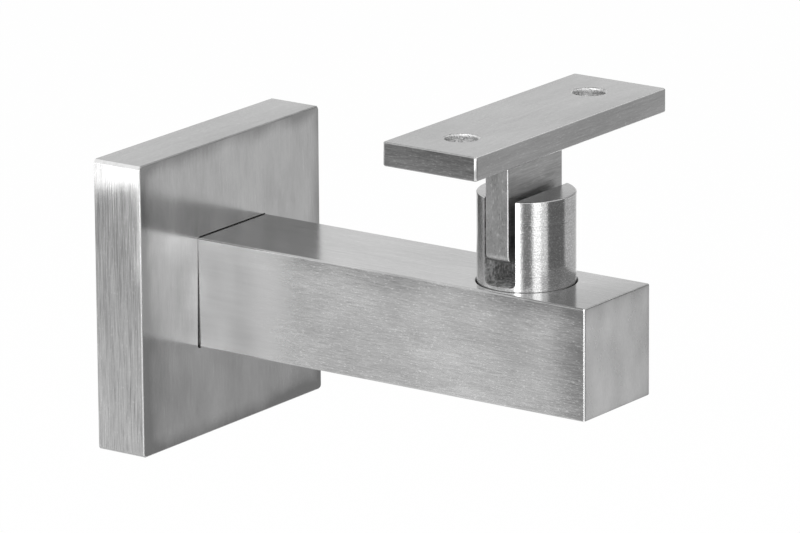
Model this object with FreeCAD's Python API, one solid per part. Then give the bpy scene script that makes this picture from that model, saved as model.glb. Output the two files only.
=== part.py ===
import FreeCAD, Part
import math
import os

from FreeCAD import Vector

# Handrail bracket: a square rose on the wall, a square arm, a turned post and a tilting saddle.
# X points away from the wall, Z up, and the origin is the middle of the rose on the wall.
# All sizes are in millimetres.

# Cover rose
rose_side = 66.0
rose_depth = 12.5
rose_wall = 1.5
rose_corner_radius = 1.0
rose_edge_chamfer = 0.35
window_gap = 0.35

# Mounting plate inside the rose
plate_thickness = 6.0
plate_gap = 0.2
plate_chamfer = 0.6
wall_hole_edge = 9.3
wall_hole_dia = 6.5
wall_countersink_dia = 12.5

# Grub screw that locks the rose to the plate
grub_dia = 4.0
grub_length = 7.0
grub_recess = 0.3
grub_hole_gap = 0.2
grub_hex = 2.0

# Arm, a solid square bar that runs past the post by its nose
arm_side = 25.0
arm_nose = 23.5
arm_edge_radius = 0.45

# Bolt and dowels between the plate and the arm
arm_bolt_dia = 8.0
arm_bolt_head_dia = 15.0
arm_bolt_recess = 0.3
arm_bolt_grip = 16.0
arm_bolt_hex = 5.0
dowel_dia = 4.0
dowel_depth = 7.0
dowel_recess = 0.5
dowel_edge = 4.5

# Swivel post
post_reach = 79.0
post_height = 20.0
post_chamfer = 0.3
post_fit = 0.1
bore_wall = 1.65
bore_web = 4.8
bore_chamfer = 0.3
slot_depth = 19.2
slot_floor_radius = 1.2

# Screw and spring washer under the post
post_screw_dia = 6.0
post_screw_head_dia = 10.0
post_screw_head_height = 6.0
post_screw_recess = 0.5
post_screw_edge_chamfer = 0.4
post_screw_hex = 5.0
post_tap_cover = 1.8
post_washer_dia = 10.4
post_washer_thickness = 1.6
post_washer_split = 1.0
counterbore_gap = 0.5

# Saddle and its tongue
saddle_length = 72.0
saddle_width = 24.0
saddle_thickness = 5.3
saddle_corner_radius = 0.6
saddle_edge_chamfer = 0.25
saddle_gap = 11.3
tongue_thickness = 6.0
tongue_inset = 0.5
tongue_below_pivot = 6.8
tongue_corner_radius = 2.25
tongue_edge_chamfer = 0.25
tongue_root_radius = 0.5
rail_hole_edge = 12.0
rail_hole_dia = 7.0
rail_hole_chamfer = 0.45
rail_countersink_dia = 12.5

# Pivot screw and nylon washer
pivot_dia = 5.0
pivot_thread_dia = 6.0
pivot_seat_depth = 3.5
pivot_recess = 0.6
pivot_hex = 3.0
pivot_fit = 0.08
tilt_washer_dia = 11.0
tilt_washer_thickness = 1.5

# Clearances used in several places
thread_gap = 0.05
slide_gap = 0.05
tongue_gap = 0.35
washer_gap = 0.15
swing_gap = 0.25
tap_run_out = 1.5
screw_chamfer = 0.5
socket_depth_ratio = 0.6
cutter_over = 1.0

# Places worked out from the sizes above
arm_top = arm_side / 2
post_x = rose_depth + post_reach
arm_end = post_x + arm_nose
plate_side = rose_side - 2 * (rose_wall + plate_gap)
window_side = arm_side + 2 * window_gap
wall_hole_place = plate_side / 2 - wall_hole_edge
dowel_place = arm_side / 2 - dowel_edge

bore_dia = arm_side - 2 * bore_wall
post_dia = bore_dia - 2 * post_fit
post_radius = post_dia / 2
post_top = arm_top + post_height
slot_floor = post_top - slot_depth
slot_width = tongue_gap + tongue_thickness + washer_gap + tilt_washer_thickness

washer_top = -arm_top + post_screw_recess + post_screw_head_height + post_washer_thickness
web_bottom = washer_top + slide_gap
bore_floor = web_bottom + bore_web
post_bottom = bore_floor + slide_gap
post_tap_top = slot_floor - post_tap_cover

tongue_width = post_dia - 2 * tongue_inset
tongue_x = post_x - slot_width / 2 + tongue_gap + tongue_thickness / 2
tongue_swing = tongue_corner_radius + math.hypot(
    tongue_width / 2 - tongue_corner_radius,
    tongue_below_pivot - tongue_corner_radius,
)
pivot_z = slot_floor + swing_gap + tongue_swing
tongue_bottom = pivot_z - tongue_below_pivot
saddle_bottom = post_top + saddle_gap
saddle_top = saddle_bottom + saddle_thickness
rail_hole_place = saddle_length / 2 - rail_hole_edge

x_axis = Vector(1, 0, 0)
y_axis = Vector(0, 1, 0)
z_axis = Vector(0, 0, 1)


# A block given by its ends along each axis
def block(x0, x1, y0, y1, z0, z1):
    return Part.makeBox(x1 - x0, y1 - y0, z1 - z0, Vector(x0, y0, z0))


# A square bar along X, centred on the X axis
def bar(x0, x1, side):
    return block(x0, x1, -side / 2, side / 2, -side / 2, side / 2)


# A round rod that starts at a point and runs along an axis
def rod(dia, length, start, axis):
    return Part.makeCylinder(dia / 2, length, start, axis)


# A rod whose far end, or both ends, are chamfered
def chamfered_rod(dia, length, start, axis, both=False):
    chamfer = min(screw_chamfer, dia / 8, length / 4)
    body = rod(dia, length - chamfer, start, axis)
    tip = Part.makeCone(dia / 2, dia / 2 - chamfer, chamfer, start + axis * (length - chamfer), axis)
    body = body.fuse(tip)
    if both:
        ring = rod(dia + cutter_over, chamfer, start, axis)
        cone = Part.makeCone(dia / 2 - chamfer, dia / 2, chamfer, start, axis)
        body = body.cut(ring.cut(cone))
    return body.removeSplitter()


# A 90 degree cone that is widest at a point and narrows along an axis
def countersink(wide_dia, narrow_dia, start, axis):
    return Part.makeCone(wide_dia / 2, narrow_dia / 2, (wide_dia - narrow_dia) / 2, start, axis)


# A hexagonal prism for a screw's socket
def hex_socket(across_flats, start, axis):
    corner = across_flats / math.sqrt(3)
    side = axis.cross(z_axis if abs(axis.z) < 0.5 else x_axis)
    up = axis.cross(side)
    points = []
    for step in range(7):
        angle = math.radians(60 * step)
        points.append(start + side * (corner * math.cos(angle)) + up * (corner * math.sin(angle)))
    face = Part.Face(Part.makePolygon(points))
    return face.extrude(axis * (across_flats * socket_depth_ratio))


# Edges of a shape that run along an axis
def edges_along(shape, axis):
    found = []
    for edge in shape.Edges:
        run = edge.Vertexes[-1].Point - edge.Vertexes[0].Point
        if run.Length > 0 and abs(run.dot(axis)) > 0.999 * run.Length:
            found.append(edge)
    return found


# Edges of a shape that lie wholly in the plane at a height along an axis
def edges_at(shape, axis, height):
    return [
        edge
        for edge in shape.Edges
        if all(abs(vertex.Point.dot(axis) - height) < 1e-6 for vertex in edge.Vertexes)
        and abs(edge.CenterOfMass.dot(axis) - height) < 1e-6
    ]


# Both ways along two axes, as pairs of signs
def corners():
    return [(a, b) for a in (-1, 1) for b in (-1, 1)]


def make_mounting_plate():
    plate = bar(0, plate_thickness, plate_side)
    plate = plate.makeFillet(rose_corner_radius, edges_along(plate, x_axis))
    plate = plate.makeChamfer(plate_chamfer, edges_at(plate, x_axis, plate_thickness))
    for a, b in corners():
        centre = Vector(0, a * wall_hole_place, b * wall_hole_place)
        front = centre + x_axis * plate_thickness
        plate = plate.cut(rod(wall_hole_dia, plate_thickness, centre, x_axis))
        plate = plate.cut(countersink(wall_countersink_dia, wall_hole_dia, front, -x_axis))
    bolt_hole_dia = arm_bolt_dia + 2 * thread_gap
    head_hole_dia = arm_bolt_head_dia + 2 * (arm_bolt_recess + thread_gap)
    plate = plate.cut(rod(bolt_hole_dia, plate_thickness, Vector(0, 0, 0), x_axis))
    plate = plate.cut(countersink(head_hole_dia, bolt_hole_dia, Vector(0, 0, 0), x_axis))
    for sign in (-1, 1):
        place = Vector(0, sign * dowel_place, sign * dowel_place)
        plate = plate.cut(rod(dowel_dia + 2 * thread_gap, plate_thickness, place, x_axis))
    tap_depth = grub_length + tap_run_out
    tap_start = Vector(plate_thickness / 2, 0, -rose_side / 2)
    return plate.cut(rod(grub_dia + 2 * thread_gap, tap_depth, tap_start, z_axis))


def make_cover_rose():
    shell = bar(0, rose_depth, rose_side)
    shell = shell.makeFillet(rose_corner_radius, edges_along(shell, x_axis))
    shell = shell.makeChamfer(rose_edge_chamfer, edges_at(shell, x_axis, rose_depth))
    shell = shell.cut(bar(0, rose_depth - rose_wall, rose_side - 2 * rose_wall))
    window = bar(0, rose_depth, window_side)
    window = window.makeFillet(arm_edge_radius + window_gap, edges_along(window, x_axis))
    shell = shell.cut(window)
    hole_start = Vector(plate_thickness / 2, 0, -rose_side / 2)
    return shell.cut(rod(grub_dia + 2 * grub_hole_gap, rose_wall, hole_start, z_axis))


def make_cover_grub_screw():
    start = Vector(plate_thickness / 2, 0, -rose_side / 2 + grub_recess)
    screw = chamfered_rod(grub_dia, grub_length, start, z_axis, both=True)
    return screw.cut(hex_socket(grub_hex, start, z_axis))


def make_arm():
    arm = bar(plate_thickness, arm_end, arm_side)
    arm = arm.makeFillet(arm_edge_radius, edges_along(arm, x_axis) + edges_at(arm, x_axis, arm_end))
    rear = Vector(plate_thickness, 0, 0)
    arm = arm.cut(rod(arm_bolt_dia + 2 * thread_gap, arm_bolt_grip + tap_run_out, rear, x_axis))
    for sign in (-1, 1):
        place = rear + Vector(0, sign * dowel_place, sign * dowel_place)
        arm = arm.cut(rod(dowel_dia + 2 * thread_gap, dowel_depth + tap_run_out, place, x_axis))
    arm = arm.cut(rod(bore_dia, arm_top - bore_floor, Vector(post_x, 0, bore_floor), z_axis))
    rim = Vector(post_x, 0, arm_top)
    arm = arm.cut(countersink(bore_dia + 2 * bore_chamfer, bore_dia, rim, -z_axis))
    head_bore = post_screw_head_dia + 2 * counterbore_gap
    arm = arm.cut(rod(head_bore, web_bottom + arm_top, Vector(post_x, 0, -arm_top), z_axis))
    stem_bore = post_screw_dia + 2 * post_fit
    return arm.cut(rod(stem_bore, bore_web, Vector(post_x, 0, web_bottom), z_axis))


def make_arm_bolt():
    start = Vector(arm_bolt_recess, 0, 0)
    length = plate_thickness - arm_bolt_recess + arm_bolt_grip
    bolt = chamfered_rod(arm_bolt_dia, length, start, x_axis)
    bolt = bolt.fuse(countersink(arm_bolt_head_dia, arm_bolt_dia, start, x_axis)).removeSplitter()
    return bolt.cut(hex_socket(arm_bolt_hex, start, x_axis))


def make_arm_dowels():
    length = plate_thickness - dowel_recess + dowel_depth
    pins = []
    for sign in (-1, 1):
        start = Vector(dowel_recess, sign * dowel_place, sign * dowel_place)
        pins.append(chamfered_rod(dowel_dia, length, start, x_axis, both=True))
    return Part.makeCompound(pins)


def make_post():
    post = rod(post_dia, post_top - post_bottom, Vector(post_x, 0, post_bottom), z_axis)
    rims = edges_at(post, z_axis, post_top) + edges_at(post, z_axis, post_bottom)
    post = post.makeChamfer(post_chamfer, rims)
    half = slot_width / 2
    slot = block(post_x - half, post_x + half, -post_dia, post_dia, slot_floor, post_top + cutter_over)
    slot = slot.makeFillet(slot_floor_radius, [
        edge for edge in edges_along(slot, y_axis) if abs(edge.CenterOfMass.z - slot_floor) < 1e-6
    ])
    post = post.cut(slot)
    tap_dia = post_screw_dia + 2 * thread_gap
    post = post.cut(rod(tap_dia, post_tap_top - post_bottom, Vector(post_x, 0, post_bottom), z_axis))
    cheek = Vector(post_x - post_radius, 0, pivot_z)
    post = post.cut(rod(pivot_thread_dia + 2 * thread_gap, post_radius, cheek, x_axis))
    seat_length = slot_width / 2 + pivot_seat_depth + thread_gap
    axis_point = Vector(post_x, 0, pivot_z)
    return post.cut(rod(pivot_dia + 2 * thread_gap, seat_length, axis_point, x_axis))


def make_post_screw():
    head_bottom = Vector(post_x, 0, -arm_top + post_screw_recess)
    head = rod(post_screw_head_dia, post_screw_head_height, head_bottom, z_axis)
    head = head.makeChamfer(post_screw_edge_chamfer, edges_at(head, z_axis, head_bottom.z))
    length = post_tap_top - tap_run_out - head_bottom.z
    screw = head.fuse(chamfered_rod(post_screw_dia, length, head_bottom, z_axis)).removeSplitter()
    return screw.cut(hex_socket(post_screw_hex, head_bottom, z_axis))


def make_post_washer():
    start = Vector(post_x, 0, washer_top - post_washer_thickness)
    ring = rod(post_washer_dia, post_washer_thickness, start, z_axis)
    ring = ring.cut(rod(post_screw_dia + 2 * thread_gap, post_washer_thickness, start, z_axis))
    half = post_washer_split / 2
    split = block(post_x, post_x + post_washer_dia, -half, half, start.z, washer_top)
    return ring.cut(split)


def make_saddle():
    half_x = saddle_width / 2
    half_y = saddle_length / 2
    plate = block(post_x - half_x, post_x + half_x, -half_y, half_y, saddle_bottom, saddle_top)
    plate = plate.makeFillet(saddle_corner_radius, edges_along(plate, z_axis))
    rims = edges_at(plate, z_axis, saddle_top) + edges_at(plate, z_axis, saddle_bottom)
    plate = plate.makeChamfer(saddle_edge_chamfer, rims)
    tongue_half = tongue_thickness / 2
    tongue = block(
        tongue_x - tongue_half, tongue_x + tongue_half,
        -tongue_width / 2, tongue_width / 2,
        tongue_bottom, saddle_bottom + saddle_thickness / 2,
    )
    tongue = tongue.makeFillet(tongue_corner_radius, [
        edge for edge in edges_along(tongue, x_axis) if abs(edge.CenterOfMass.z - tongue_bottom) < 1e-6
    ])
    outlines = []
    for side in (-tongue_half, tongue_half):
        outlines += edges_at(tongue, x_axis, tongue_x + side)
    tongue = tongue.makeChamfer(tongue_edge_chamfer, outlines)
    saddle = plate.fuse(tongue).removeSplitter()
    root = [edge for edge in edges_at(saddle, z_axis, saddle_bottom) if is_tongue_root(edge)]
    saddle = saddle.makeFillet(tongue_root_radius, root)
    for sign in (-1, 1):
        below = Vector(post_x, sign * rail_hole_place, saddle_bottom)
        above = Vector(post_x, sign * rail_hole_place, saddle_top)
        saddle = saddle.cut(rod(rail_hole_dia, saddle_thickness, below, z_axis))
        saddle = saddle.cut(countersink(rail_countersink_dia, rail_hole_dia, below, z_axis))
        rim_dia = rail_hole_dia + 2 * rail_hole_chamfer
        saddle = saddle.cut(countersink(rim_dia, rail_hole_dia, above, -z_axis))
    pivot_start = Vector(tongue_x - tongue_thickness, 0, pivot_z)
    return saddle.cut(rod(pivot_dia + 2 * pivot_fit, 2 * tongue_thickness, pivot_start, x_axis))


# The corner between the tongue and the plate above it
def is_tongue_root(edge):
    place = edge.CenterOfMass
    inside_x = abs(place.x - tongue_x) < tongue_thickness / 2 + 1e-6
    inside_y = abs(place.y) < tongue_width / 2 + 1e-6
    return inside_x and inside_y


def make_pivot_screw():
    outer = Vector(post_x - post_radius + pivot_recess, 0, pivot_z)
    inner_x = post_x - slot_width / 2
    screw = rod(pivot_thread_dia, inner_x - outer.x, outer, x_axis)
    nose_length = post_x + slot_width / 2 + pivot_seat_depth - outer.x
    screw = screw.fuse(chamfered_rod(pivot_dia, nose_length, outer, x_axis)).removeSplitter()
    return screw.cut(hex_socket(pivot_hex, outer, x_axis))


def make_tilt_washer():
    start = Vector(post_x + slot_width / 2 - tilt_washer_thickness, 0, pivot_z)
    ring = rod(tilt_washer_dia, tilt_washer_thickness, start, x_axis)
    return ring.cut(rod(pivot_dia + 2 * thread_gap, tilt_washer_thickness, start, x_axis))


pieces = {
    "mounting_plate": make_mounting_plate(),
    "cover_rose": make_cover_rose(),
    "cover_grub_screw": make_cover_grub_screw(),
    "arm": make_arm(),
    "arm_bolt": make_arm_bolt(),
    "arm_dowels": make_arm_dowels(),
    "post": make_post(),
    "post_screw": make_post_screw(),
    "post_washer": make_post_washer(),
    "saddle": make_saddle(),
    "pivot_screw": make_pivot_screw(),
    "tilt_washer": make_tilt_washer(),
}

os.makedirs("parts", exist_ok=True)
for name, shape in pieces.items():
    shape.exportStep(f"parts/{name}.step")
    print(name, "solids", len(shape.Solids), "valid", shape.isValid(), "volume", round(shape.Volume, 1))
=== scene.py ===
import math

import bmesh
import bpy
from mathutils import Matrix, Vector


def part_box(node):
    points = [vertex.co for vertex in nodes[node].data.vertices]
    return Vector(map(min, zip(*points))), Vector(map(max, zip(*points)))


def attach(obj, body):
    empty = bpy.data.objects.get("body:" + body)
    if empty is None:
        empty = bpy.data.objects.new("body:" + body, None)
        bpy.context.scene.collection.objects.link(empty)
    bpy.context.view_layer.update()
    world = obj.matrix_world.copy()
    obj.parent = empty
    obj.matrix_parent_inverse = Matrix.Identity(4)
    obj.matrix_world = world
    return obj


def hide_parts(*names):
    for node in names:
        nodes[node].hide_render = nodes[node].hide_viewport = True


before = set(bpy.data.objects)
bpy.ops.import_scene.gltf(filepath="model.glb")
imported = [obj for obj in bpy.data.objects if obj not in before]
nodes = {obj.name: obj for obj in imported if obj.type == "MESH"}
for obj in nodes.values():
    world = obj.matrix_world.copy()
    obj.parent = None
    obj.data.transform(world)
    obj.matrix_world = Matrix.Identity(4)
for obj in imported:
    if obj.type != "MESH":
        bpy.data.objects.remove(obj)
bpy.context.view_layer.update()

scene = bpy.context.scene
mm = 0.001
inMm = 1 / mm  # turns a node's metres into mm
print("frame:", len(nodes), "nodes")


class Wire:  # one node socket: sums on it add Math nodes, and node() adds any other
    def __init__(self, tree, socket=None):
        self.tree = tree
        self.socket = socket

    def node(self, kind, settings, inputs, output=0):
        made = self.tree.nodes.new(kind)
        for name, value in settings.items():
            setattr(made, name, value)
        for name, value in inputs.items():
            for one in value if isinstance(value, list) else [value]:
                if isinstance(one, Wire):
                    self.tree.links.new(one.socket, made.inputs[name])
                else:
                    made.inputs[name].default_value = one
        return Wire(self.tree, made.outputs[output] if made.outputs else None)

    def also(self, name):  # another output of the same node
        return Wire(self.tree, self.socket.node.outputs[name])

    def maths(self, operation, *values):  # of the socket alone where no values are given
        return self.node("ShaderNodeMath", {"operation": operation},
                         dict(enumerate(values or (self,))))

    def __add__(self, other):
        return self.maths("ADD", self, other)

    def __sub__(self, other):
        return self.maths("SUBTRACT", self, other)

    def __rsub__(self, other):
        return self.maths("SUBTRACT", other, self)

    def __mul__(self, other):
        return self.maths("MULTIPLY", self, other)

    def __truediv__(self, other):
        return self.maths("DIVIDE", self, other)

    def __gt__(self, other):
        return self.maths("GREATER_THAN", self, other)

    def __lt__(self, other):
        return self.maths("LESS_THAN", self, other)

    def __mod__(self, other):
        return self.maths("MODULO", self, other)

    __radd__ = __add__
    __rmul__ = __mul__

    def least(self, other):
        return self.maths("MINIMUM", self, other)

    def most(self, other):
        return self.maths("MAXIMUM", self, other)

    def centred(self):  # a noise as a change up or down
        return self - 0.5

    def between(self, low, high):  # from 0 at low to 1 at high
        return self.node("ShaderNodeMapRange", {"interpolation_type": "SMOOTHSTEP"},
                         {"Value": self, "From Min": low, "From Max": high})


def newMaterial(name):
    material = bpy.data.materials.new(name)
    material.use_nodes = True
    material.node_tree.nodes.clear()
    return material, Wire(material.node_tree)


def grey(level):
    return (level, level, level, 1)


def mixGrey(wire, factor, low, high):  # the colour mix's factor, A, B and result by their places
    return wire.node("ShaderNodeMix", {"data_type": "RGBA", "clamp_factor": True},
                     {0: factor, 6: grey(low), 7: grey(high)}, 2)


def bumpOf(wire, height, strength, depth):
    return wire.node("ShaderNodeBump", {},
                     {"Height": height, "Strength": strength, "Distance": depth * mm})


def objectPlace(wire):
    return wire.node("ShaderNodeTexCoord", {}, {}, "Object")


seedSpread = (1.0, 0.7, 1.3)  # how far a seed moves a pattern along each axis


def noiseAt(wire, place, across, along=None, grain=None, seed=0.0, detail=2.0):
    # widths in mm, across the grain and along it, or the first one all round without a grain
    scale = [1 / (across * mm)] * 3
    if grain is not None:
        scale["xyz".index(grain)] = 1 / (along * mm)
    moved = wire.node("ShaderNodeMapping", {}, {
        "Vector": place, "Location": tuple(seed * share for share in seedSpread),
        "Scale": tuple(scale)})
    return wire.node("ShaderNodeTexNoise", {"noise_dimensions": "3D"},
                     {"Vector": moved, "Scale": 1.0, "Detail": detail, "Roughness": 0.55})


def noiseLayers(wire, place, look, layers, grain=None):  # a noise for each layer, in their order
    made = []
    for layer in layers.values():
        width, share = layer["across"]
        length, longShare = layer.get("along", layer["across"])
        made.append(noiseAt(wire, place, look[width] * share, look[length] * longShare,
                            layer.get("grain", grain), layer["seed"], layer.get("detail", 2.0)))
    return made


leastRough = 0.05


def finishMaterial(wire, colour, rough, height, look):
    bsdf = wire.node("ShaderNodeBsdfPrincipled", {}, {
        "Base Color": colour, "Roughness": rough.most(leastRough),
        "Normal": bumpOf(wire, height, look["bump"], look["depth"]),
        "Metallic": look.get("metal", 1.0), "Anisotropic": look.get("stretch", 0.0),
        "Anisotropic Rotation": look.get("turn", 0.0)})
    wire.node("ShaderNodeOutputMaterial", {}, {"Surface": bsdf})


# A rim paints shade on the band beyond its sides, given as axis, centre and half width in mm,
# and an inside one on the patch between them. A tone below 0 paints a highlight instead. The
# border wanders, by shares of the rim's width.
border = {"wave": 2.5, "swing": 0.9, "inner": 1.3, "outer": 0.4, "seed": 6.6}


def rimShade(wire, place, rim):
    apart = wire.node("ShaderNodeSeparateXYZ", {}, {0: place})
    beyond = None
    for axis, centre, half in rim["sides"]:
        over = (apart.also(axis) * inMm - centre).maths("ABSOLUTE") - half
        beyond = over if beyond is None else beyond.most(over)
    width = rim["width"]
    wave = noiseAt(wire, place, width * border["wave"], seed=border["seed"], detail=0.0)
    shade = (beyond + wave.centred() * width * border["swing"]).between(
        -width * border["inner"], width * border["outer"])
    return 1 - shade if rim.get("inside") else shade


# Each kind of steel has noise layers, whose widths are shares of a size in its look, and a base
# look that every finish changes: sizes and depths in mm, tones and heights as shares
brushLayers = {
    "lines": {"across": ("line", 1), "along": ("run", 1), "seed": 3.1},
    "hairs": {"across": ("line", 0.45), "along": ("run", 0.5), "seed": 8.2},
    "streaks": {"across": ("line", 5), "along": ("run", 3), "seed": 7.7},
    "clouds": {"across": ("cloud", 1), "along": ("cloud", 2), "seed": 1.9},
    "specks": {"across": ("line", 0.9), "along": ("line", 4), "seed": 5.3, "detail": 0.0},
}
brushedBase = {
    "line": 0.27, "run": 9.0, "cloud": 14.0, "lineTone": 1.0, "hairTone": 0.7, "streakTone": 0.4,
    "cloudTone": 0.35, "speckTone": 0.15, "brightSpecks": (0.66, 0.76),
    "darkSpecks": (0.32, 0.24), "darkShare": 0.3, "base": 0.62, "spread": 0.25, "midTone": 0.5,
    "rough": 0.2, "lineRough": 0.15, "cloudRough": 0.08, "lineHeight": 0.6, "hairHeight": 0.3,
    "streakHeight": 0.3, "bump": 0.35, "depth": 0.02,
}
uprightGloss = 0.25  # turns a stretched highlight upright, for level brushing


# Steel with brush lines along the grain, broader streaks, soft clouds and a few specks
def brushedSteel(name, grain, **changes):
    look = dict(brushedBase, **changes)
    material, wire = newMaterial(name)
    place = objectPlace(wire)
    lines, hairs, streaks, clouds, specks = noiseLayers(wire, place, look, brushLayers, grain)
    strokes = lines.centred() * look["lineTone"] + hairs.centred() * look["hairTone"]
    marks = specks.between(*look["brightSpecks"])
    marks = marks - specks.between(*look["darkSpecks"]) * look["darkShare"]
    strokes = strokes + marks * look["speckTone"]
    height = lines * look["lineHeight"] + hairs * look["hairHeight"]
    height = height + streaks * look["streakHeight"]
    tone = streaks.centred() * look["streakTone"] + clouds.centred() * look["cloudTone"]
    tone = tone + look["midTone"]
    rough = lines.centred() * look["lineRough"] + clouds.centred() * look["cloudRough"]
    rough = rough + look["rough"]
    kept = 1.0
    if "rubbed" in look:  # brush lines fade near the rose, which also gets a painted highlight
        rubbed = look["rubbed"]
        apart = wire.node("ShaderNodeSeparateXYZ", {}, {0: place})
        along = apart.also("X") * inMm
        kept = (along + clouds.centred() * rubbed["wander"]).between(rubbed["from"], rubbed["to"])
        kept = kept * (1 - rubbed["faint"]) + rubbed["faint"]
        strokes = strokes * kept
        height = height * kept
        # painted highlight: the near side (Y below 0) is made lighter close to the rose
        rootHighlight = 1 - (along + clouds.centred() * rubbed["rootWander"]).between(*rubbed["root"])
        nearSide = apart.also("Y") < 0
        tone = tone + rootHighlight * nearSide * rubbed["lift"]
        rough = rough + (1 - kept) * rubbed["dull"]
    # painted shade, or a painted highlight where the tone is below 0, from each rim
    for rim in look.get("rims", []):
        share = 1.0 if rim.get("inside") else kept
        tone = tone - rimShade(wire, place, rim) * (share * rim["tone"])
    colour = mixGrey(wire, tone + strokes, look["base"] - look["spread"],
                     look["base"] + look["spread"])
    finishMaterial(wire, colour, rough, height, look)
    return material


turnLayers = {
    "rings": {"across": ("run", 1), "along": ("line", 1), "seed": 2.3},
    "bands": {"across": ("run", 1.5), "along": ("line", 6), "seed": 4.1},
    "clouds": {"across": ("cloud", 1), "along": ("cloud", 1.8), "seed": 6.2},
    "sand": {"across": ("sand", 1), "grain": None, "seed": 3.7},
}
turnedBase = {
    "cloud": 5.0, "streakTone": 0.3, "cloudTone": 0.3, "midTone": 0.5, "spread": 0.25,
    "grains": (0.62, 0.7), "grainTone": 0.4, "grainRough": 0.12, "cloudRough": 0.1,
    "ringHeight": 0.5,
}


# Rings that a lathe tool leaves on a round piece that stands upright, with a fine sandy grain
def turnedSteel(name, **changes):
    look = dict(turnedBase, **changes)
    material, wire = newMaterial(name)
    place = objectPlace(wire)
    rings, bands, clouds, sand = noiseLayers(wire, place, look, turnLayers, "z")
    tone = rings.centred() * look["lineTone"] + bands.centred() * look["streakTone"]
    tone = tone + clouds.centred() * look["cloudTone"] + sand.centred() * look["sandTone"]
    tone = tone + look["midTone"]
    grains = sand.between(*look["grains"])  # bright ones here and there
    colour = mixGrey(wire, tone + grains * look["sandTone"] * look["grainTone"],
                     look["base"] - look["spread"], look["base"] + look["spread"])
    rough = clouds.centred() * look["cloudRough"] + grains * look["grainRough"] + look["rough"]
    height = rings * look["ringHeight"] + sand * look["sandHeight"]
    finishMaterial(wire, colour, rough, height, look)
    return material


milledLayers = {
    "pits": {"across": ("pit", 1), "seed": 8.4, "detail": 4.0},
    "first": {"across": ("pit", 0.6), "along": ("pit", 20), "grain": "z", "seed": 9.5},
    "second": {"across": ("pit", 0.7), "along": ("pit", 14), "grain": "y", "seed": 4.4},
    "clouds": {"across": ("cloud", 1), "seed": 2.8},
}
milledBase = {
    "cloudTone": 1.0, "midTone": 0.45, "first": (0.62, 0.72), "second": (0.63, 0.72),
    "darkest": 0.45, "lightest": 1.55, "pitRough": 0.3, "scratchDepth": 0.4, "bump": 0.5,
}


# Milled or drilled steel that was never brushed: crossed scratches on a dull, uneven ground
def milledSteel(name, **changes):
    look = dict(milledBase, **changes)
    material, wire = newMaterial(name)
    place = objectPlace(wire)
    pits, first, second, clouds = noiseLayers(wire, place, look, milledLayers)
    scratches = first.between(*look["first"]) + second.between(*look["second"])
    tone = pits.centred() * look["pitTone"] + scratches * look["scratchTone"] + look["midTone"]
    tone = tone + clouds.centred() * look["cloudTone"]
    colour = mixGrey(wire, tone, look["base"] * look["darkest"],
                     min(1, look["base"] * look["lightest"]))
    rough = pits.centred() * look["pitRough"] + look["rough"]
    finishMaterial(wire, colour, rough, pits - scratches * look["scratchDepth"], look)
    return material


nylonLayers = {
    "grain": {"across": ("grain", 1), "seed": 1.2, "detail": 3.0},
    "clouds": {"across": ("cloud", 1), "seed": 5.2},
}
nylon = {"grain": 0.15, "cloud": 2.5, "darkest": 0.012, "lightest": 0.03, "rough": 0.45,
         "grainRough": 0.2, "bump": 0.3, "depth": 0.02, "metal": 0.0}


def nylonBlack(name):
    material, wire = newMaterial(name)
    grain, clouds = noiseLayers(wire, objectPlace(wire), nylon, nylonLayers)
    colour = mixGrey(wire, clouds, nylon["darkest"], nylon["lightest"])
    finishMaterial(wire, colour, grain.centred() * nylon["grainRough"] + nylon["rough"], grain,
                   nylon)
    return material


def bakeDown(obj):  # puts the result of the modifiers into a plain mesh
    seen = obj.evaluated_get(bpy.context.evaluated_depsgraph_get())
    mesh = bpy.data.meshes.new_from_object(seen)
    obj.modifiers.clear()
    obj.data = mesh
    return obj


# For the smoothed copies: a distance in mm, angles in degrees, and the weight of large faces
smoothing = {"merge": 0.0005, "flat": 0.05, "sharp": 50, "rim": 17.2, "weight": 50}


# A welded copy of a CAD node with rounded shading. Edges that isRim picks stay sharp as well.
def smoothCopy(node, name, isRim=None):
    mesh = nodes[node].data.copy()
    mesh.materials.clear()
    weld = bmesh.new()
    weld.from_mesh(mesh)
    bmesh.ops.remove_doubles(weld, verts=weld.verts, dist=smoothing["merge"] * mm)
    bmesh.ops.dissolve_limit(weld, angle_limit=math.radians(smoothing["flat"]),
                             verts=weld.verts, edges=weld.edges)
    for edge in weld.edges:
        turn = math.degrees(edge.calc_face_angle(math.pi))
        ends = [vert.co / mm for vert in edge.verts]
        onRim = isRim and turn > smoothing["rim"] and isRim(*ends)
        edge.smooth = turn < smoothing["sharp"] and not onRim
    for face in weld.faces:
        face.smooth = True
    weld.to_mesh(mesh)
    weld.free()
    for old in [item for item in mesh.attributes if item.name == "custom_normal"]:
        mesh.attributes.remove(old)
    obj = bpy.data.objects.new(name, mesh)
    scene.collection.objects.link(obj)
    weights = obj.modifiers.new("evenNormals", "WEIGHTED_NORMAL")
    weights.keep_sharp = True
    weights.weight = smoothing["weight"]
    return bakeDown(obj)


def setFinish(obj, finishes, choose):  # choose names the finish for a face's middle and normal
    names = list(finishes)
    for material in finishes.values():
        obj.data.materials.append(material)
    for face in obj.data.polygons:
        face.material_index = names.index(choose(face.center / mm, face.normal))
    print("piece:", obj.name, len(obj.data.polygons), "faces,", len(names), "finishes")


def standFor(obj, body, slot, *replaced):
    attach(obj, body)
    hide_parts(*replaced)


# How much of a normal lies along an axis: on a face square to it, one that mostly looks along
# it, and a rounding that turns towards it
squarely, mostly, partly = 0.95, 0.75, 0.3
near = 0.05  # mm, for a point that lies on a face


def isFlat(normal):  # square to an axis, so not a fillet or a chamfer
    return max(abs(part) for part in normal) > squarely


def highCorner(node):
    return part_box(node)[1] / mm


roseHigh = highCorner("cover_rose")
armHigh = highCorner("arm")
postHigh = highCorner("post")
saddleHigh = highCorner("saddle")
postRadius = postHigh.y
postX = postHigh.x - postRadius

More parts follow.
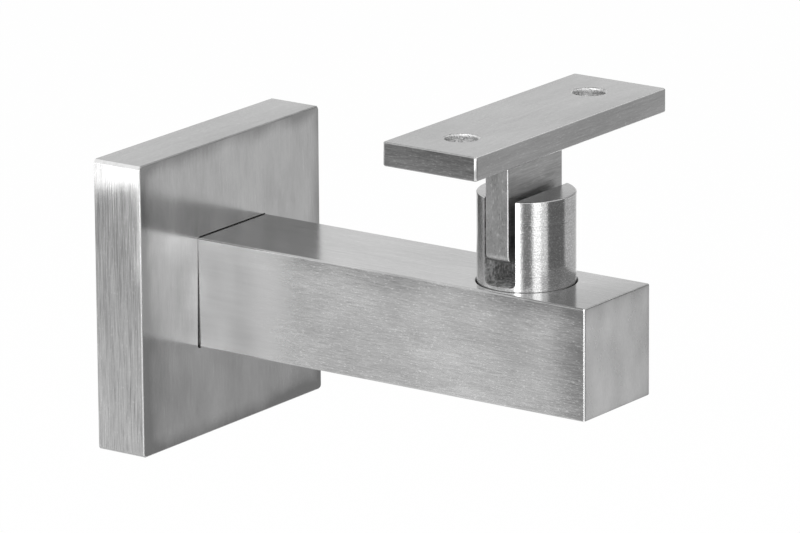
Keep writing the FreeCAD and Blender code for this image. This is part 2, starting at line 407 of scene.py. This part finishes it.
rose = {
    "wall": 1.5, "rounding": 0.4,
    "window": {"reach": armHigh.y + 0.6, "tighter": 0.15, "closed": 0.31, "open": 0.25},
    "finishes": {
        "side": brushedSteel(
            "roseBrushedSide", "z", stretch=0.5, base=0.6, spread=0.35, line=0.24, lineTone=0.86,
            hairTone=0.79, streakTone=0.3, cloudTone=0.3, rough=0.17,
            # painted highlight: a lighter patch near the front edge, on the upper part of the
            # side
            rims=[{"sides": [("X", 12.5, 2), ("Z", 20, 14)], "width": 2.5, "inside": True,
                   "tone": -0.4}]),
        "front": brushedSteel(
            "roseBrushedFront", "z", stretch=0.4, rough=0.18, cloud=9.0, cloudTone=0.7,
            lineTone=0.15, hairTone=0.35, streakTone=0.08, speckTone=0.08, bump=0.08,
            lineRough=0.03,
            # painted shade: darker along all rims, more along the -Y edge and in a patch beside
            # the arm on that side; also a darker patch at the lower +Y corner
            rims=[{"sides": [("Y", 0, roseHigh.y), ("Z", 0, roseHigh.z)], "width": 3.4,
                   "tone": 0.55},
                  {"sides": [("Y", 40, 73)], "width": 10.0, "tone": 0.35},
                  {"sides": [("Y", -24, 13), ("Z", 0, 12)], "width": 4.0, "inside": True,
                   "tone": 0.18},
                  {"sides": [("Y", 26, 14), ("Z", -34, 7)], "width": 4.0, "inside": True,
                   "tone": 0.3}]),
        "top": brushedSteel("roseBrushedTop", "y", base=0.57, rough=0.22, lineTone=0.2,
                            hairTone=0.35, streakTone=0.15, bump=0.1),
        # painted highlight: a brighter copy of the face finish for the upright roundings
        "highlightEdge": brushedSteel("roseHighlightEdge", "z", base=0.78, lineTone=0.4, speckTone=0.0),
        # painted shade: a darker copy for the low and front-facing roundings
        "edge": brushedSteel("roseShadedEdge", "y", base=0.42, lineTone=0.4, speckTone=0.0),
        "inside": milledSteel("roseInside", pit=0.5, pitTone=0.5, cloud=9.0, scratchTone=0.2,
                              base=0.6, rough=0.5, depth=0.05),
    },
}


def snugWindow(obj, window):  # tighter round the arm, with a near edge that leans open downwards
    for vert in obj.data.vertices:
        y, z = vert.co.y / mm, vert.co.z / mm
        if max(abs(y), abs(z)) < window["reach"]:
            upward = (z / window["reach"] + 1) / 2
            lean = window["closed"] * upward - window["open"] * (1 - upward)
            vert.co.y += (lean if y < 0 else -window["tighter"]) * mm
            vert.co.z -= math.copysign(window["tighter"], z) * mm


def roseFinish(middle, normal):
    reach = max(abs(middle.y), abs(middle.z))
    if reach < roseHigh.y - rose["wall"] / 2 and middle.x < roseHigh.x - rose["rounding"]:
        return "inside"
    if abs(normal.x) > squarely:
        return "front"
    if reach < roseHigh.y - rose["wall"]:
        return "inside"
    if isFlat(normal):
        return "top" if abs(normal.z) > squarely else "side"
    # low and front-facing roundings get the darker edge finish, painted shade; the rest the
    # brighter one, a painted highlight
    lowOrFront = middle.z < 0 or abs(normal.x) > partly
    return "edge" if abs(normal.z) > partly and lowOrFront else "highlightEdge"


roseShell = smoothCopy("cover_rose", "roseShell")
snugWindow(roseShell, rose["window"])
setFinish(roseShell, rose["finishes"], roseFinish)
standFor(roseShell, "bracket", "rose_steel", "cover_rose")

farOff = 30  # mm that a side's centre is moved by, so that only its other edge has a rim
arm = {
    "skin": 0.6, "endBand": 1.0,
    "finishes": {
        "side": brushedSteel(
            "armBrushedSide", "x", stretch=0.5, turn=uprightGloss, base=0.63, spread=0.35,
            line=0.2, run=5.0, lineTone=0.55, hairTone=0.7, streakTone=0.15, speckTone=0.3,
            rough=0.24, cloudTone=0.85,
            # lift paints a highlight on the near side close to the rose; the other keys fade and
            # dull the brush lines there
            rubbed={"from": 22.0, "to": 50.0, "wander": 45.0, "faint": 0.08,
                    "root": (24.0, 42.0), "rootWander": 22.5, "lift": 0.45, "dull": 0.1},
            # painted shade: darker towards the free end and along the top edge
            rims=[{"sides": [("X", 0, armHigh.x)], "width": 8.0, "tone": 0.43},
                  {"sides": [("Z", -farOff, armHigh.z + farOff)], "width": 4.0,
                   "tone": 0.29}]),
        "top": brushedSteel(
            "armBrushedTop", "x", base=0.65, rough=0.16, lineTone=0.3, hairTone=0.5,
            streakTone=0.15, bump=0.1, speckTone=0.15,
            # painted shade: darker towards the free end
            rims=[{"sides": [("X", 0, armHigh.x)], "width": 14.0, "tone": 0.3}]),
        # painted light and shade: a lighter finish, darker along its rims, towards its +Y side
        # and at its top
        "cut": brushedSteel(
            "armCutEnd", "z", base=0.78, rough=0.3, line=0.6, run=2.0, cloud=7.0, cloudTone=0.9,
            lineTone=0.2, hairTone=0.3, streakTone=0.05, speckTone=0.0, bump=0.05,
            rims=[{"sides": [("Y", 0, armHigh.y), ("Z", 0, armHigh.z)], "width": 1.2,
                   "tone": 0.2},
                  {"sides": [("Y", -farOff, armHigh.y + farOff)], "width": 14.0,
                   "tone": 0.25},
                  {"sides": [("Z", -farOff, armHigh.z + farOff)], "width": 4.0,
                   "tone": 0.3}]),
        # painted shade: the long roundings made darker than the faces
        "edge": brushedSteel("armShadedLongEdge", "x", base=0.45, lineTone=0.6, hairTone=0.4),
        # painted highlight: the end's upright roundings made brighter
        "highlightEdge": brushedSteel("armHighlightEdge", "z", base=0.92, lineTone=0.1, hairTone=0.1,
                             streakTone=0.1, speckTone=0.0, bump=0.05),
        # painted shade: the bore wall and its rounding are made dark
        "shadedBore": milledSteel("armBoreShaded", pit=0.4, pitTone=0.8, cloud=3.0, scratchTone=0.3,
                            base=0.25, rough=0.4, depth=0.03),
    },
}


def armFinish(middle, normal):
    if middle.x > armHigh.x - near:
        return "cut"
    within = max(abs(middle.y), abs(middle.z)) < armHigh.y - arm["skin"]
    atPost = math.hypot(middle.x - postX, middle.y) < postRadius + arm["skin"]
    if within or (atPost and not isFlat(normal)):
        return "shadedBore"
    if isFlat(normal):
        return "top" if abs(normal.z) > squarely else "side"
    atEnd = middle.x > armHigh.x - arm["endBand"]
    # the end's upright roundings get the painted highlight, the other roundings the darker edge
    # finish, painted shade
    return "highlightEdge" if atEnd and abs(normal.y) > partly else "edge"


armBar = smoothCopy("arm", "armBar")
setFinish(armBar, arm["finishes"], armFinish)
standFor(armBar, "bracket", "arm_steel", "arm")

post = {
    "skin": 0.35,
    "finishes": {
        "turned": turnedSteel(
            "postTurned", line=0.14, run=14.0, sand=0.25, lineTone=0.5, sandTone=1.4,
            sandHeight=0.85, base=0.6, rough=0.14, bump=0.62, depth=0.025, stretch=0.5,
            turn=uprightGloss),
        "faced": brushedSteel("postFacedTop", "x", rough=0.24, line=0.35, bump=0.2,
                              lineTone=0.5),
        # painted light: the slot's milled walls are made brighter against their shade
        "slot": milledSteel("postSlotMilledLit", pit=0.7, pitTone=2.8, cloud=2.0, cloudTone=2.3,
                            scratchTone=1.6, base=0.75, rough=0.65, depth=0.05),
    },
}


def postFinish(middle, normal):
    if middle.z > postHigh.z - near:
        return "faced"
    fromAxis = math.hypot(middle.x - postX, middle.y)
    return "slot" if fromAxis < postRadius - post["skin"] else "turned"


swivelPost = smoothCopy("post", "swivelPost")
setFinish(swivelPost, post["finishes"], postFinish)
standFor(swivelPost, "swivel", "post_steel", "post")

saddle = {
    "bottom": saddleHigh.z - 5.3, "holeY": saddleHigh.y - 12.0, "sinkRadius": 6.25,
    "margin": 0.1,
    "finishes": {
        "top": brushedSteel("saddleBrushedTop", "y", base=0.56, rough=0.22, lineTone=0.2,
                            hairTone=0.45, streakTone=0.15, bump=0.1, cloudTone=0.45),
        # painted shade: the sides darker than the top, and the ends darker still
        "side": brushedSteel("saddleShadedSide", "y", stretch=0.4, turn=uprightGloss, base=0.43,
                             lineTone=0.35, hairTone=0.3, streakTone=0.25),
        "end": brushedSteel("saddleShadedCutEnd", "x", stretch=0.4, turn=uprightGloss, base=0.28,
                            line=0.18, run=4.0, lineTone=0.45, hairTone=0.4, speckTone=0.2),
        "tongueEdge": brushedSteel("tongueMilledEdge", "z", base=0.4, run=0.8, line=0.3,
                                   cloud=4.0, cloudTone=0.5, rough=0.3, lineTone=0.45,
                                   hairTone=0.5, speckTone=0.3, bump=0.2),
        "tongueFace": brushedSteel("tongueMilledFace", "y", base=0.47, run=6.0, lineTone=0.5,
                                   cloud=6.0, cloudTone=0.5, rough=0.32),
        # painted highlight: a brighter finish for the roundings
        "highlightEdge": brushedSteel("saddleHighlightEdge", "z", base=0.78, lineTone=0.6, speckTone=0.0),
        # painted highlight: the hole walls are brighter than the other steel
        "hole": milledSteel("holeWallDrilledLit", pit=0.4, pitTone=2.0, cloud=3.0, scratchTone=0.5,
                            base=0.85, rough=0.3, depth=0.15),
    },
}


def fromHole(spot):  # distance from the axis of the nearer rail hole
    return math.hypot(spot.x - postX, abs(spot.y) - saddle["holeY"])


def countersinkRim(first, second):  # the edge between the saddle's underside and a countersink
    return all(end.z < saddle["bottom"] + near
               and abs(fromHole(end) - saddle["sinkRadius"]) < near for end in (first, second))


def saddleFinish(middle, normal):
    if middle.z < saddle["bottom"] - saddle["margin"]:
        if abs(normal.x) > squarely:
            return "tongueFace"
        # the tongue's roundings that face along X get the painted highlight
        return "highlightEdge" if abs(normal.x) > partly else "tongueEdge"
    if abs(normal.z) > mostly:
        return "top"
    if fromHole(middle) < saddle["sinkRadius"] + saddle["margin"]:
        return "hole"
    if isFlat(normal):
        return "end" if abs(normal.y) > squarely else "side"
    # roundings between an end and the top or bottom take the side finish; the others the painted
    # highlight
    return "side" if min(abs(normal.y), abs(normal.z)) > partly else "highlightEdge"


railSaddle = smoothCopy("saddle", "railSaddle", countersinkRim)
setFinish(railSaddle, saddle["finishes"], saddleFinish)
standFor(railSaddle, "rail_saddle", "saddle_steel", "saddle")

# The hidden pieces that stay CAD nodes
screwSteel = turnedSteel("screwSteel", line=0.2, run=3.0, sand=0.2, lineTone=0.3, sandTone=0.3,
                         sandHeight=0.3, base=0.42, rough=0.28, bump=0.2, depth=0.01)
hidden = {
    "mounting_plate": brushedSteel("plateRolled", "y", base=0.42, rough=0.34, line=0.5, run=18.0,
                                   lineTone=0.3, hairTone=0.25, streakTone=0.3, cloudTone=0.4,
                                   speckTone=0.05, bump=0.15),
    "arm_dowels": screwSteel,
    "post_washer": screwSteel,
    "tilt_washer": nylonBlack("washerNylon"),
}
for nodeName, material in hidden.items():
    nodes[nodeName].data.materials.clear()
    nodes[nodeName].data.materials.append(material)
print("hidden pieces:", len(hidden))

# Threaded screws with hex sockets
screwInputs = {
    "Thread Diameter": "Float", "Pitch": "Float", "Thread Start": "Float", "Length": "Float",
    "Has Head": "Bool", "Head Diameter": "Float", "Head Far Diameter": "Float",
    "Head Height": "Float", "Head Land": "Float", "Has Nose": "Bool", "Nose Diameter": "Float",
    "Nose End": "Float", "Hex": "Float", "Hex Depth": "Float", "Segments": "Int",
    "Start": "Vector", "Turn": "Vector", "Material": "Material",
}
# rows in a turn of thread, the row below which it is crest, and its depth in pitches
thread = {"rows": 4, "crest": 1.5, "depth": 0.6}
alongX = (0.0, math.pi / 2, 0.0)

# lengths in mm, from the outer end of each screw
screws = {
    "armBolt": {"body": "bracket", "node": "arm_bolt", "Start": (0.3, 0, 0), "Turn": alongX,
                "Thread Diameter": 8.0, "Pitch": 1.25, "Thread Start": 2.5, "Length": 21.7,
                "Has Head": True, "Head Diameter": 14.4, "Head Far Diameter": 8.0,
                "Head Height": 3.5, "Head Land": 0.3, "Hex": 5.0, "Hex Depth": 3.0},
    "roseGrubScrew": {"body": "bracket", "node": "cover_grub_screw", "Start": (3.0, 0, -32.7),
                      "Thread Diameter": 4.0, "Pitch": 0.7, "Length": 7.0, "Hex": 2.0,
                      "Hex Depth": 1.8},
    "postScrew": {"body": "swivel", "node": "post_screw", "Start": (91.5, 0, -12.0),
                  "Thread Diameter": 6.0, "Pitch": 1.0, "Thread Start": 5.0, "Length": 22.0,
                  "Has Head": True, "Head Diameter": 10.0, "Head Far Diameter": 10.0,
                  "Head Height": 6.0, "Head Land": 0.4, "Hex": 5.0, "Hex Depth": 3.0},
    "pivotScrew": {"body": "swivel", "node": "pivot_screw", "Start": (81.35, 0, 25.0034),
                   "Turn": alongX, "Thread Diameter": 6.0, "Pitch": 1.0, "Length": 6.15,
                   "Has Nose": True, "Nose Diameter": 5.0, "Nose End": 17.6, "Hex": 3.0,
                   "Hex Depth": 1.8},
}
screwMesh = {"segments": 48, "merge": 0.001, "sharp": 28}


def makeScrewTree():
    tree = bpy.data.node_groups.new("socketScrew", "GeometryNodeTree")
    for name, kind in screwInputs.items():
        tree.interface.new_socket(name=name, in_out="INPUT", socket_type="NodeSocket" + kind)
    tree.interface.new_socket(name="Geometry", in_out="OUTPUT",
                              socket_type="NodeSocketGeometry")
    given = tree.nodes.new("NodeGroupInput")
    size = {name: Wire(tree, given.outputs[name]) for name in screwInputs}
    wire = Wire(tree)

    # a sheet whose rows follow the thread's helix, wrapped round the axis, with one more row
    # at each end that closes it
    run = size["Length"] - size["Thread Start"]
    turns = run / size["Pitch"]
    rows = (turns.maths("CEIL") + 1) * thread["rows"]
    sheet = wire.node("GeometryNodeMeshGrid", {}, {
        "Size X": 2 * math.pi, "Size Y": rows + 2,
        "Vertices X": size["Segments"] + 1, "Vertices Y": rows + 3})
    position = wire.node("GeometryNodeInputPosition", {}, {})
    spot = wire.node("ShaderNodeSeparateXYZ", {}, {0: position})
    angle = spot.also("X")
    row = spot.also("Y") + rows / 2
    inner = row.most(0).least(rows)
    climb = (inner / thread["rows"] + angle / (2 * math.pi) - 0.5) * size["Pitch"]
    height = climb.most(0).least(run)
    crest = ((inner + 0.1) % thread["rows"]) < thread["crest"]  # 0.1 guards against rounding
    root = size["Thread Diameter"] / 2 - size["Pitch"] * thread["depth"]
    radius = root + crest * size["Pitch"] * thread["depth"]
    radius = radius.least(root + height).least(root + run - height)
    radius = radius * (row > -0.5) * (row < rows + 0.5)
    wrapped = wire.node("ShaderNodeCombineXYZ", {}, {
        "X": radius * angle.maths("COSINE"), "Y": radius * angle.maths("SINE"),
        "Z": height + size["Thread Start"]})
    shank = wire.node("GeometryNodeSetPosition", {}, {"Geometry": sheet, "Position": wrapped})
    shank = wire.node("GeometryNodeMergeByDistance", {},
                      {"Geometry": shank, "Distance": screwMesh["merge"] * mm})

    def frustum(low, high, depth, lift):
        made = wire.node("GeometryNodeMeshCone", {}, {
            "Vertices": size["Segments"], "Radius Top": high, "Radius Bottom": low,
            "Depth": depth})
        shift = wire.node("ShaderNodeCombineXYZ", {}, {"Z": lift})
        return wire.node("GeometryNodeTransform", {}, {"Geometry": made, "Translation": shift})

    def joined(*parts):
        return wire.node("GeometryNodeMeshBoolean", {"operation": "UNION", "solver": "EXACT"},
                         {"Mesh 2": list(parts)})

    def either(switch, body, extra):
        return wire.node("GeometryNodeSwitch", {"input_type": "GEOMETRY"},
                         {"Switch": switch, "False": body, "True": joined(body, extra)})

    wide = size["Head Diameter"] / 2
    land = frustum(wide - size["Head Land"], wide, size["Head Land"], 0.0)
    rest = frustum(wide, size["Head Far Diameter"] / 2, size["Head Height"] - size["Head Land"],
                   size["Head Land"])
    body = either(size["Has Head"], shank, joined(land, rest))
    noseRadius = size["Nose Diameter"] / 2
    noseHalf = size["Nose End"] / 2
    body = either(size["Has Nose"], body, frustum(noseRadius, noseRadius, noseHalf, noseHalf))
    hexagon = wire.node("GeometryNodeMeshCylinder", {}, {
        "Vertices": 6, "Radius": size["Hex"] / math.sqrt(3), "Depth": size["Hex Depth"] * 2})
    body = wire.node("GeometryNodeMeshBoolean", {"operation": "DIFFERENCE", "solver": "EXACT"},
                     {"Mesh 1": body, "Mesh 2": hexagon})
    body = wire.node("GeometryNodeTransform", {}, {
        "Geometry": body, "Translation": size["Start"], "Rotation": size["Turn"]})
    body = wire.node("GeometryNodeRealizeInstances", {}, {"Geometry": body})
    body = wire.node("GeometryNodeSetMaterial", {},
                     {"Geometry": body, "Material": size["Material"]})
    wire.node("NodeGroupOutput", {}, {"Geometry": body})
    return tree


def makeScrew(name, sizes, tree):
    obj = bpy.data.objects.new(name, bpy.data.meshes.new(name))
    scene.collection.objects.link(obj)
    modifier = obj.modifiers.new("screw", "NODES")
    modifier.node_group = tree
    given = dict(sizes, Segments=screwMesh["segments"], Material=screwSteel)
    for item in tree.interface.items_tree:
        if item.in_out == "INPUT" and item.name in given:
            value = given[item.name]
            if item.socket_type == "NodeSocketFloat":
                value = value * mm
            if item.name == "Start":
                value = [part * mm for part in value]
            modifier[item.identifier] = value
    bakeDown(obj)
    obj.data.shade_smooth()
    obj.data.set_sharp_from_angle(angle=math.radians(screwMesh["sharp"]))
    standFor(obj, sizes["body"], "screw_steel", sizes["node"])
    print("screw:", name, len(obj.data.polygons), "faces")


screwTree = makeScrewTree()
for screwName, screwSizes in screws.items():
    makeScrew(screwName, screwSizes, screwTree)

# Studio: pale floor, white world, cards that show only in reflections, and softboxes, all
# placed round the centre. The floor's drop and its paper's fibres are in mm.
studio = {
    "centre": Vector((58.0, 0.0, 10.0)) * mm, "ambient": 0.85, "floorDrop": 70.0,
    "floorSide": 8.0, "floorColour": 0.95, "floorOwnLight": 0.93, "fibre": 0.6,
    "fibreBump": 0.1, "fibreDepth": 0.1,
}

# azimuth and spread in degrees round the centre from +X, distance and heights in metres, and
# the glow from one height up to the next
cards = {
    "cardFront": {"azimuth": -48.3, "spread": 19.0, "distance": 0.27, "low": -0.3, "high": 0.05,
                  "glow": [(0, 0.3)]},
    "cardRight": {"azimuth": 18.0, "spread": 48.0, "distance": 0.7, "low": -0.7, "high": 0.6,
                  "glow": [(0.2, 0.18), (0.25, 0.8)]},
    "cardBackRight": {"azimuth": 72.0, "spread": 58.0, "distance": 0.8, "low": -0.7,
                      "high": 0.5, "glow": [(-0.1, 0.6), (0.12, 0.36)]},
    "cardRoseLow": {"azimuth": 69.0, "spread": 34.0, "distance": 0.203, "low": -0.3,
                    "high": -0.07, "glow": [(0, 0.4)]},
    "cardBackLeft": {"azimuth": 126.0, "spread": 64.0, "distance": 0.8, "low": -0.2,
                     "high": 0.9, "glow": [(0, 0.76)]},
    "cardLeft": {"azimuth": -128.0, "spread": 60.0, "distance": 0.8, "low": -0.7, "high": 0.0,
                 "glow": [(-0.23, 0.74), (-0.18, 0.46)]},
    "cardRoseHigh": {"azimuth": -136.5, "spread": 9.0, "distance": 0.115, "low": 0.003,
                     "high": 0.03, "glow": [(0, 2.3)]},
    "cardRoseEdge": {"azimuth": -132.0, "spread": 2.0, "distance": 0.11, "low": -0.016,
                     "high": 0.003, "glow": [(0, 1.5)]},
}
lamps = {  # azimuth and elevation in degrees, distance and sizes in metres, power in watts
    "softboxRight": {"azimuth": -29.5, "elevation": 10.0, "distance": 0.8, "width": 0.24,
                     "height": 0.7, "power": 0.62},
    "softboxLeft": {"azimuth": -74.0, "elevation": 5.0, "distance": 0.8, "width": 0.16,
                    "height": 0.6, "power": 0.85},
    "softboxTop": {"azimuth": -100.0, "elevation": 72.0, "distance": 1.0, "width": 0.8,
                   "height": 0.8, "power": 2.5},
}


def aimedFrom(azimuth, elevation, distance):  # a place round the centre whose -Z looks at it
    turn, rise = math.radians(azimuth), math.radians(elevation)
    outward = Vector((math.cos(turn) * math.cos(rise), math.sin(turn) * math.cos(rise),
                      math.sin(rise)))
    spot = studio["centre"] + outward * distance
    return Matrix.LocRotScale(spot, (studio["centre"] - spot).to_track_quat("-Z", "Y"), None)


def sheetObject(name, width, height):
    mesh = bpy.data.meshes.new(name)
    x, y = width / 2, height / 2
    mesh.from_pydata([(-x, -y, 0), (x, -y, 0), (x, y, 0), (-x, y, 0)], [], [(0, 1, 2, 3)])
    obj = bpy.data.objects.new(name, mesh)
    scene.collection.objects.link(obj)
    return obj


def directRays(wire):  # 1 for the rays that should see the background as white
    path = wire.node("ShaderNodeLightPath", {}, {}, "Is Camera Ray")
    return path.most(path.also("Is Glossy Ray")).most(path.also("Is Transmission Ray"))


def glowOf(wire, strength):
    return wire.node("ShaderNodeEmission", {}, {"Color": grey(1), "Strength": strength})


def makeFloor():
    floor = sheetObject("floor", studio["floorSide"], studio["floorSide"])
    floor.location = (0, 0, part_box("cover_rose")[0].z - studio["floorDrop"] * mm)
    material, wire = newMaterial("floorPaper")
    fibres = noiseAt(wire, objectPlace(wire), studio["fibre"], seed=1.1, detail=3.0)
    bump = bumpOf(wire, fibres, studio["fibreBump"], studio["fibreDepth"])
    paper = wire.node("ShaderNodeBsdfDiffuse", {},
                      {"Color": grey(studio["floorColour"]), "Normal": bump})
    shader = wire.node("ShaderNodeMixShader", {}, {
        0: directRays(wire) * studio["floorOwnLight"], 1: paper, 2: glowOf(wire, 1.0)})
    wire.node("ShaderNodeOutputMaterial", {}, {"Surface": shader})
    floor.data.materials.append(material)
    floor.visible_glossy = False


def makeWorld():
    world = bpy.data.worlds.new("studioWorld")
    scene.world = world
    world.use_nodes = True
    world.node_tree.nodes.clear()
    sky = Wire(world.node_tree)
    strength = directRays(sky) * (1 - studio["ambient"]) + studio["ambient"]
    light = sky.node("ShaderNodeBackground", {}, {"Color": grey(1), "Strength": strength})
    sky.node("ShaderNodeOutputWorld", {}, {"Surface": light})


def makeCard(name, card):
    width = 2 * card["distance"] * math.tan(math.radians(card["spread"] / 2))
    obj = sheetObject(name, width, card["high"] - card["low"])
    obj.matrix_world = aimedFrom(card["azimuth"], 0, card["distance"])
    obj.location.z += (card["high"] + card["low"]) / 2
    material, wire = newMaterial(name)
    spot = wire.node("ShaderNodeNewGeometry", {}, {}, "Position")
    height = wire.node("ShaderNodeSeparateXYZ", {}, {0: spot}).also("Z")
    strength = card["glow"][0][1]
    for (low, first), (high, second) in zip(card["glow"], card["glow"][1:]):
        strength = height.between(low, high) * (second - first) + strength
    wire.node("ShaderNodeOutputMaterial", {}, {"Surface": glowOf(wire, strength)})
    obj.data.materials.append(material)
    obj.visible_camera = False
    obj.visible_diffuse = False
    obj.visible_shadow = False


def makeLamp(name, lamp):
    data = bpy.data.lights.new(name, "AREA")
    data.shape = "RECTANGLE"
    data.size = lamp["width"]
    data.size_y = lamp["height"]
    data.energy = lamp["power"]
    obj = bpy.data.objects.new(name, data)
    scene.collection.objects.link(obj)
    obj.matrix_world = aimedFrom(lamp["azimuth"], lamp["elevation"], lamp["distance"])


makeFloor()
makeWorld()
for cardName, card in cards.items():
    makeCard(cardName, card)
for lampName, lamp in lamps.items():
    makeLamp(lampName, lamp)

# The photo's view, as fitted to its corners: angles in degrees, lengths in metres, the focal
# length in pixels of an image that wide, and the sensor's width in mm
view = {
    "azimuth": 35.606, "elevation": 15.503, "roll": -0.391, "distance": 1.57658,
    "aim": (0.05809, 0.0, 0.010224), "focalPixels": 7250.9, "imageWidth": 800, "sensor": 36.0,
    "clip": (0.05, 50.0),
}


def makeCamera():
    az, el, roll = (math.radians(view[key]) for key in ("azimuth", "elevation", "roll"))
    back = Vector((math.sin(az) * math.cos(el), -math.cos(az) * math.cos(el), math.sin(el)))
    right = (-back).cross(Vector((0, 0, 1))).normalized()
    up = right.cross(-back)
    across = right * math.cos(roll) + up * math.sin(roll)
    above = up * math.cos(roll) - right * math.sin(roll)
    data = bpy.data.cameras.new("photoCamera")
    data.sensor_fit = "HORIZONTAL"
    data.sensor_width = view["sensor"]
    data.lens = view["focalPixels"] / view["imageWidth"] * view["sensor"]
    data.clip_start, data.clip_end = view["clip"]
    camera = bpy.data.objects.new("photoCamera", data)
    turn = Matrix((across, above, back)).transposed().to_4x4()
    camera.matrix_world = Matrix.Translation(Vector(view["aim"]) + back * view["distance"]) @ turn
    scene.collection.objects.link(camera)
    scene.camera = camera


makeCamera()
scene.view_settings.view_transform = "Standard"
print("studio:", len(cards), "cards and", len(lamps), "softboxes")
